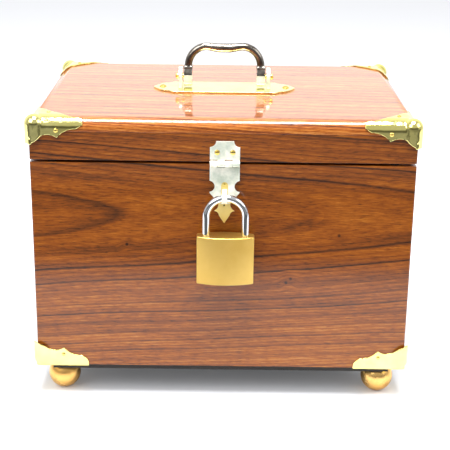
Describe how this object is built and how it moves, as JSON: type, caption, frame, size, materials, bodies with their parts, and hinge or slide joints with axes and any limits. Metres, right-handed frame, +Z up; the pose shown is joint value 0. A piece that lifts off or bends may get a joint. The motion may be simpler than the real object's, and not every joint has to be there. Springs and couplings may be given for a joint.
{
  "type": "donation box",
  "caption": "Lacquered wooden donation box with a hinged lid, a top handle, brass corner caps, ball feet, and a hasp and padlock at the front.",
  "frame": {"origin": "on the surface that the feet stand on, at the middle of the whole object's outline", "axes": "+Z up, +X to the right of someone who faces the padlock, +Y towards the back"},
  "size_m": [0.26, 0.2115, 0.2334],
  "materials": {
    "lacquered_walnut": "gloss lacquer",
    "plain_ply": "sanded",
    "black_felt": "felt",
    "polished_brass": "polished",
    "brass_fixings": "polished",
    "satin_brass": "satin",
    "padlock_brass": "brushed",
    "nickel_plate": "bright nickel",
    "chrome": "polished",
    "plain_steel": "plain"
  },
  "bodies": {
    "box": {"front_wall": "lacquered_walnut", "back_wall": "lacquered_walnut", "left_wall": "lacquered_walnut", "right_wall": "lacquered_walnut", "floor_panel": "plain_ply", "floor_felt": "black_felt", "rim_strips": "black_felt", "lid_bumpers": "black_felt", "foot_front_left": "satin_brass", "foot_front_right": "satin_brass", "foot_back_left": "satin_brass", "foot_back_right": "satin_brass", "foot_studs": "plain_steel", "base_cap_front_left": "polished_brass", "base_cap_front_right": "polished_brass", "base_cap_back_left": "polished_brass", "base_cap_back_right": "polished_brass", "base_cap_pins": "brass_fixings", "hinge_body_leaf_left": "brass_fixings", "hinge_body_leaf_right": "brass_fixings", "hinge_body_screws": "brass_fixings", "staple": "polished_brass", "staple_plate": "polished_brass", "staple_nails": "plain_steel", "slot_plate": "polished_brass", "slot_plate_pins": "brass_fixings"},
    "lid": {"lid_top_panel": "lacquered_walnut", "lid_front_rail": "lacquered_walnut", "lid_back_rail": "lacquered_walnut", "lid_left_rail": "lacquered_walnut", "lid_right_rail": "lacquered_walnut", "lid_cap_front_left": "polished_brass", "lid_cap_front_right": "polished_brass", "lid_cap_back_left": "polished_brass", "lid_cap_back_right": "polished_brass", "lid_cap_pins": "brass_fixings", "handle_plate": "polished_brass", "handle_plate_screws": "brass_fixings", "handle_ear_left": "polished_brass", "handle_ear_right": "polished_brass", "bail_pivot_pins": "brass_fixings", "hinge_lid_leaf_left": "brass_fixings", "hinge_lid_leaf_right": "brass_fixings", "hinge_lid_screws": "brass_fixings", "hinge_pin_left": "brass_fixings", "hinge_pin_right": "brass_fixings", "hasp_top_leaf": "nickel_plate", "hasp_pins": "brass_fixings", "hasp_hinge_pin": "nickel_plate"},
    "handle": {"bail": "chrome"},
    "hasp_leaf": {"hasp_swing_leaf": "nickel_plate"},
    "padlock_bow": {"shackle": "chrome"},
    "padlock_case": {"lock_case": "padlock_brass", "driver_pins": "padlock_brass", "driver_springs": "plain_steel", "shackle_spring": "plain_steel", "retaining_pin": "plain_steel"},
    "padlock_plug": {"key_plug": "padlock_brass", "key_pins": "padlock_brass"},
    "padlock_latch": {"latch": "padlock_brass"}
  },
  "joints": [
    {"name": "lid_hinge", "type": "hinge", "parent": "box", "child": "lid", "pos_m": [0, 0.1036, 0.17035], "axis": [-1, 0, 0], "range_deg": [0, 95]},
    {"name": "handle_swing", "type": "hinge", "parent": "lid", "child": "handle", "pos_m": [0, 0.00635, 0.2085], "axis": [1, 0, 0], "range_deg": [-95, 95]},
    {"name": "padlock_off", "type": "slide", "parent": "box", "child": "padlock_bow", "axis": [0, -1, 0], "range_m": [0, 0.09]},
    {"name": "hasp_swing", "type": "hinge", "parent": "lid", "child": "hasp_leaf", "pos_m": [0.001, -0.0909, 0.17035], "axis": [-1, 0, 0], "range_deg": [0, 165]},
    {"name": "case_drop", "type": "slide", "parent": "padlock_bow", "child": "padlock_case", "axis": [0, 0, -1], "range_m": [0, 0.0095]},
    {"name": "key_turn", "type": "hinge", "parent": "padlock_case", "child": "padlock_plug", "pos_m": [0.002, -0.09855, 0.0907], "axis": [0, 0, 1], "range_deg": [0, 90]},
    {"name": "latch_slide", "type": "slide", "parent": "padlock_case", "child": "padlock_latch", "axis": [-1, 0, 0], "range_m": [0, 0.0016]}
  ],
  "couplings": [
    {"joint": "hasp_swing", "follows": "padlock_off", "rad_per_m": 31.9},
    {"joint": "key_turn", "follows": "case_drop", "rad_per_m": 165.2},
    {"joint": "latch_slide", "follows": "case_drop", "ratio": 0.168}
  ]
}
